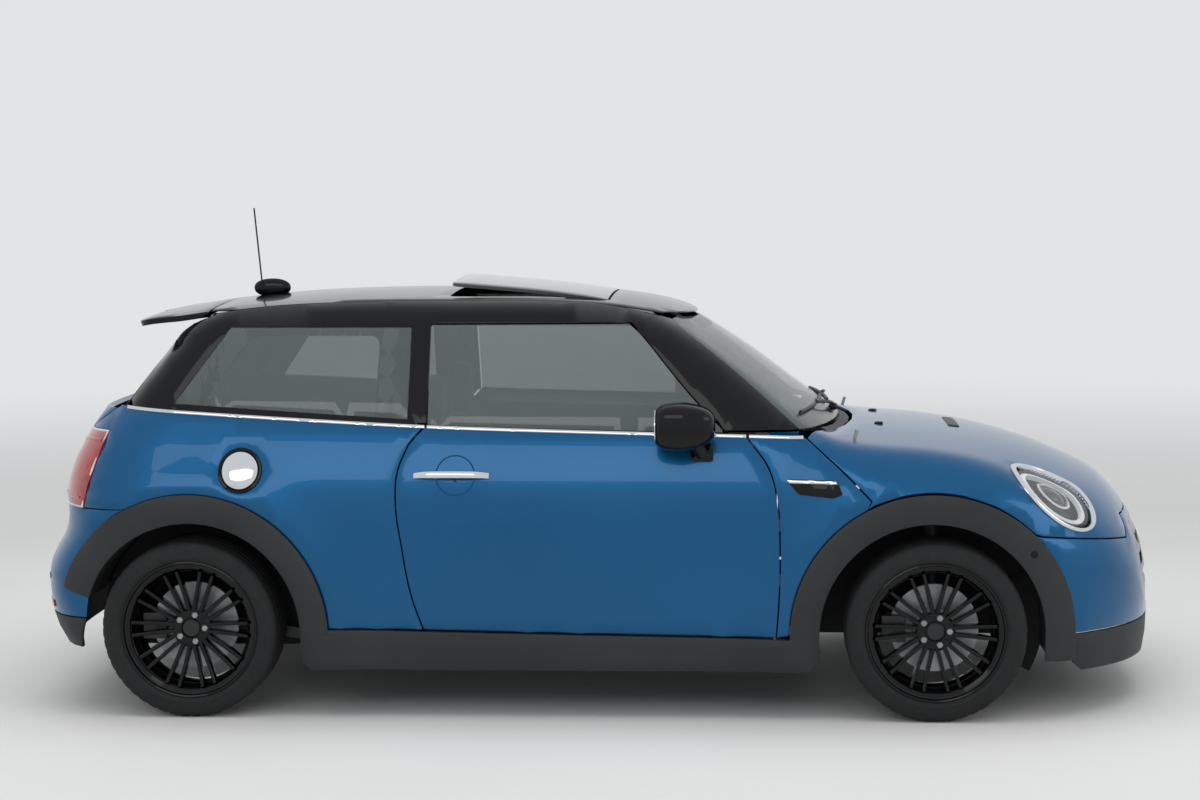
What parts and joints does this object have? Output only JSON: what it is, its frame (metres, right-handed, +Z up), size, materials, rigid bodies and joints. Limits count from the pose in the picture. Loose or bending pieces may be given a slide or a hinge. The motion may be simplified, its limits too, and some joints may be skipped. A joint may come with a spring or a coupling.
{
  "type": "three-door hatchback car",
  "caption": "Small three-door hatchback car with opening doors, bonnet and tailgate, steered front wheels and turning road wheels.",
  "frame": {"origin": "on the ground, under the middle of the car's bounding box", "axes": "+X towards the nose, +Y towards the car's left side, +Z up"},
  "size_m": [3.8739, 1.932, 1.7083],
  "materials": {
    "paint": "metallic mid-blue gloss",
    "black_paint": "gloss black",
    "trim": "grained dark grey",
    "glass": "tinted",
    "clear_lens": "clear",
    "red_lens": "translucent red",
    "tyre": "matt black",
    "steel": "satin",
    "underseal": "matt coating",
    "cloth": "woven, dark"
  },
  "bodies": {
    "body": {"floor_pan": "underseal", "body_side_right": "paint", "body_side_left": "paint", "roof": "black_paint", "sunroof_panel": "glass", "fender_right": "paint", "fender_left": "paint", "front_bumper": "paint", "front_valance": "trim", "grille": "trim", "rear_bumper": "paint", "rear_valance": "trim", "cladding_right": "trim", "cladding_left": "trim", "windscreen": "glass", "quarter_glass_right": "glass", "quarter_glass_left": "glass", "headlamp_right": "clear_lens", "headlamp_left": "clear_lens", "tail_lamp_right": "red_lens", "tail_lamp_left": "red_lens", "front_seat_right": "cloth", "front_seat_left": "cloth", "rear_seat": "cloth", "dashboard": "trim", "scuttle": "trim", "antenna": "black_paint", "exhaust": "steel", "engine": "steel", "front_subframe": "steel", "rear_axle": "steel", "fuel_cap": "steel"},
    "right_door": {"door_right": "paint", "door_glass_right": "glass", "door_mirror_right": "black_paint"},
    "left_door": {"door_left": "paint", "door_glass_left": "glass", "door_mirror_left": "black_paint"},
    "bonnet_lid": {"bonnet": "paint"},
    "tailgate_lid": {"tailgate": "paint", "tailgate_glass": "glass", "spoiler": "black_paint"},
    "left_knuckle": {"knuckle_left": "steel"},
    "right_knuckle": {"knuckle_right": "steel"},
    "steering": {"steering_wheel": "trim"},
    "front_left_wheel": {"rim_front_left": "black_paint", "tyre_front_left": "tyre"},
    "front_right_wheel": {"rim_front_right": "black_paint", "tyre_front_right": "tyre"},
    "rear_left_wheel": {"rim_rear_left": "black_paint", "tyre_rear_left": "tyre"},
    "rear_right_wheel": {"rim_rear_right": "black_paint", "tyre_rear_right": "tyre"}
  },
  "joints": [
    {"name": "right_door_hinge", "type": "hinge", "parent": "body", "child": "right_door", "pos_m": [0.68146, -0.83008, 0.467], "axis": [0, 0, 1], "range_deg": [0, 60]},
    {"name": "left_door_hinge", "type": "hinge", "parent": "body", "child": "left_door", "pos_m": [0.68146, 0.83008, 0.467], "axis": [0, 0, -1], "range_deg": [0, 60]},
    {"name": "bonnet_hinge", "type": "hinge", "parent": "body", "child": "bonnet_lid", "pos_m": [0.655, 0, 0.925], "axis": [0, -1, 0], "range_deg": [0, 48]},
    {"name": "tailgate_hinge", "type": "hinge", "parent": "body", "child": "tailgate_lid", "pos_m": [-1.295, 0, 1.36698], "axis": [0, 1, 0], "range_deg": [0, 72]},
    {"name": "left_steer", "type": "hinge", "parent": "body", "child": "left_knuckle", "pos_m": [1.145, 0.675, 0.185], "axis": [0, -0.2482, 0.9687], "range_deg": [-30, 30]},
    {"name": "right_steer", "type": "hinge", "parent": "body", "child": "right_knuckle", "pos_m": [1.145, -0.675, 0.185], "axis": [0, 0.2482, 0.9687], "range_deg": [-30, 30]},
    {"name": "steering_turn", "type": "hinge", "parent": "body", "child": "steering", "pos_m": [0.31, -0.365, 0.83], "axis": [-0.9063, 0, 0.4226], "range_deg": [-420, 420]},
    {"name": "front_left_spin", "type": "hinge", "parent": "left_knuckle", "child": "front_left_wheel", "pos_m": [1.145, 0.7425, 0.3], "axis": [0, 1, 0], "continuous": true},
    {"name": "front_right_spin", "type": "hinge", "parent": "right_knuckle", "child": "front_right_wheel", "pos_m": [1.145, -0.7425, 0.3], "axis": [0, 1, 0], "continuous": true},
    {"name": "rear_left_spin", "type": "hinge", "parent": "body", "child": "rear_left_wheel", "pos_m": [-1.35, 0.7425, 0.3], "axis": [0, 1, 0], "continuous": true},
    {"name": "rear_right_spin", "type": "hinge", "parent": "body", "child": "rear_right_wheel", "pos_m": [-1.35, -0.7425, 0.3], "axis": [0, 1, 0], "continuous": true}
  ],
  "couplings": [
    {"joint": "right_steer", "follows": "left_steer", "ratio": 1},
    {"joint": "steering_turn", "follows": "left_steer", "ratio": 14}
  ]
}
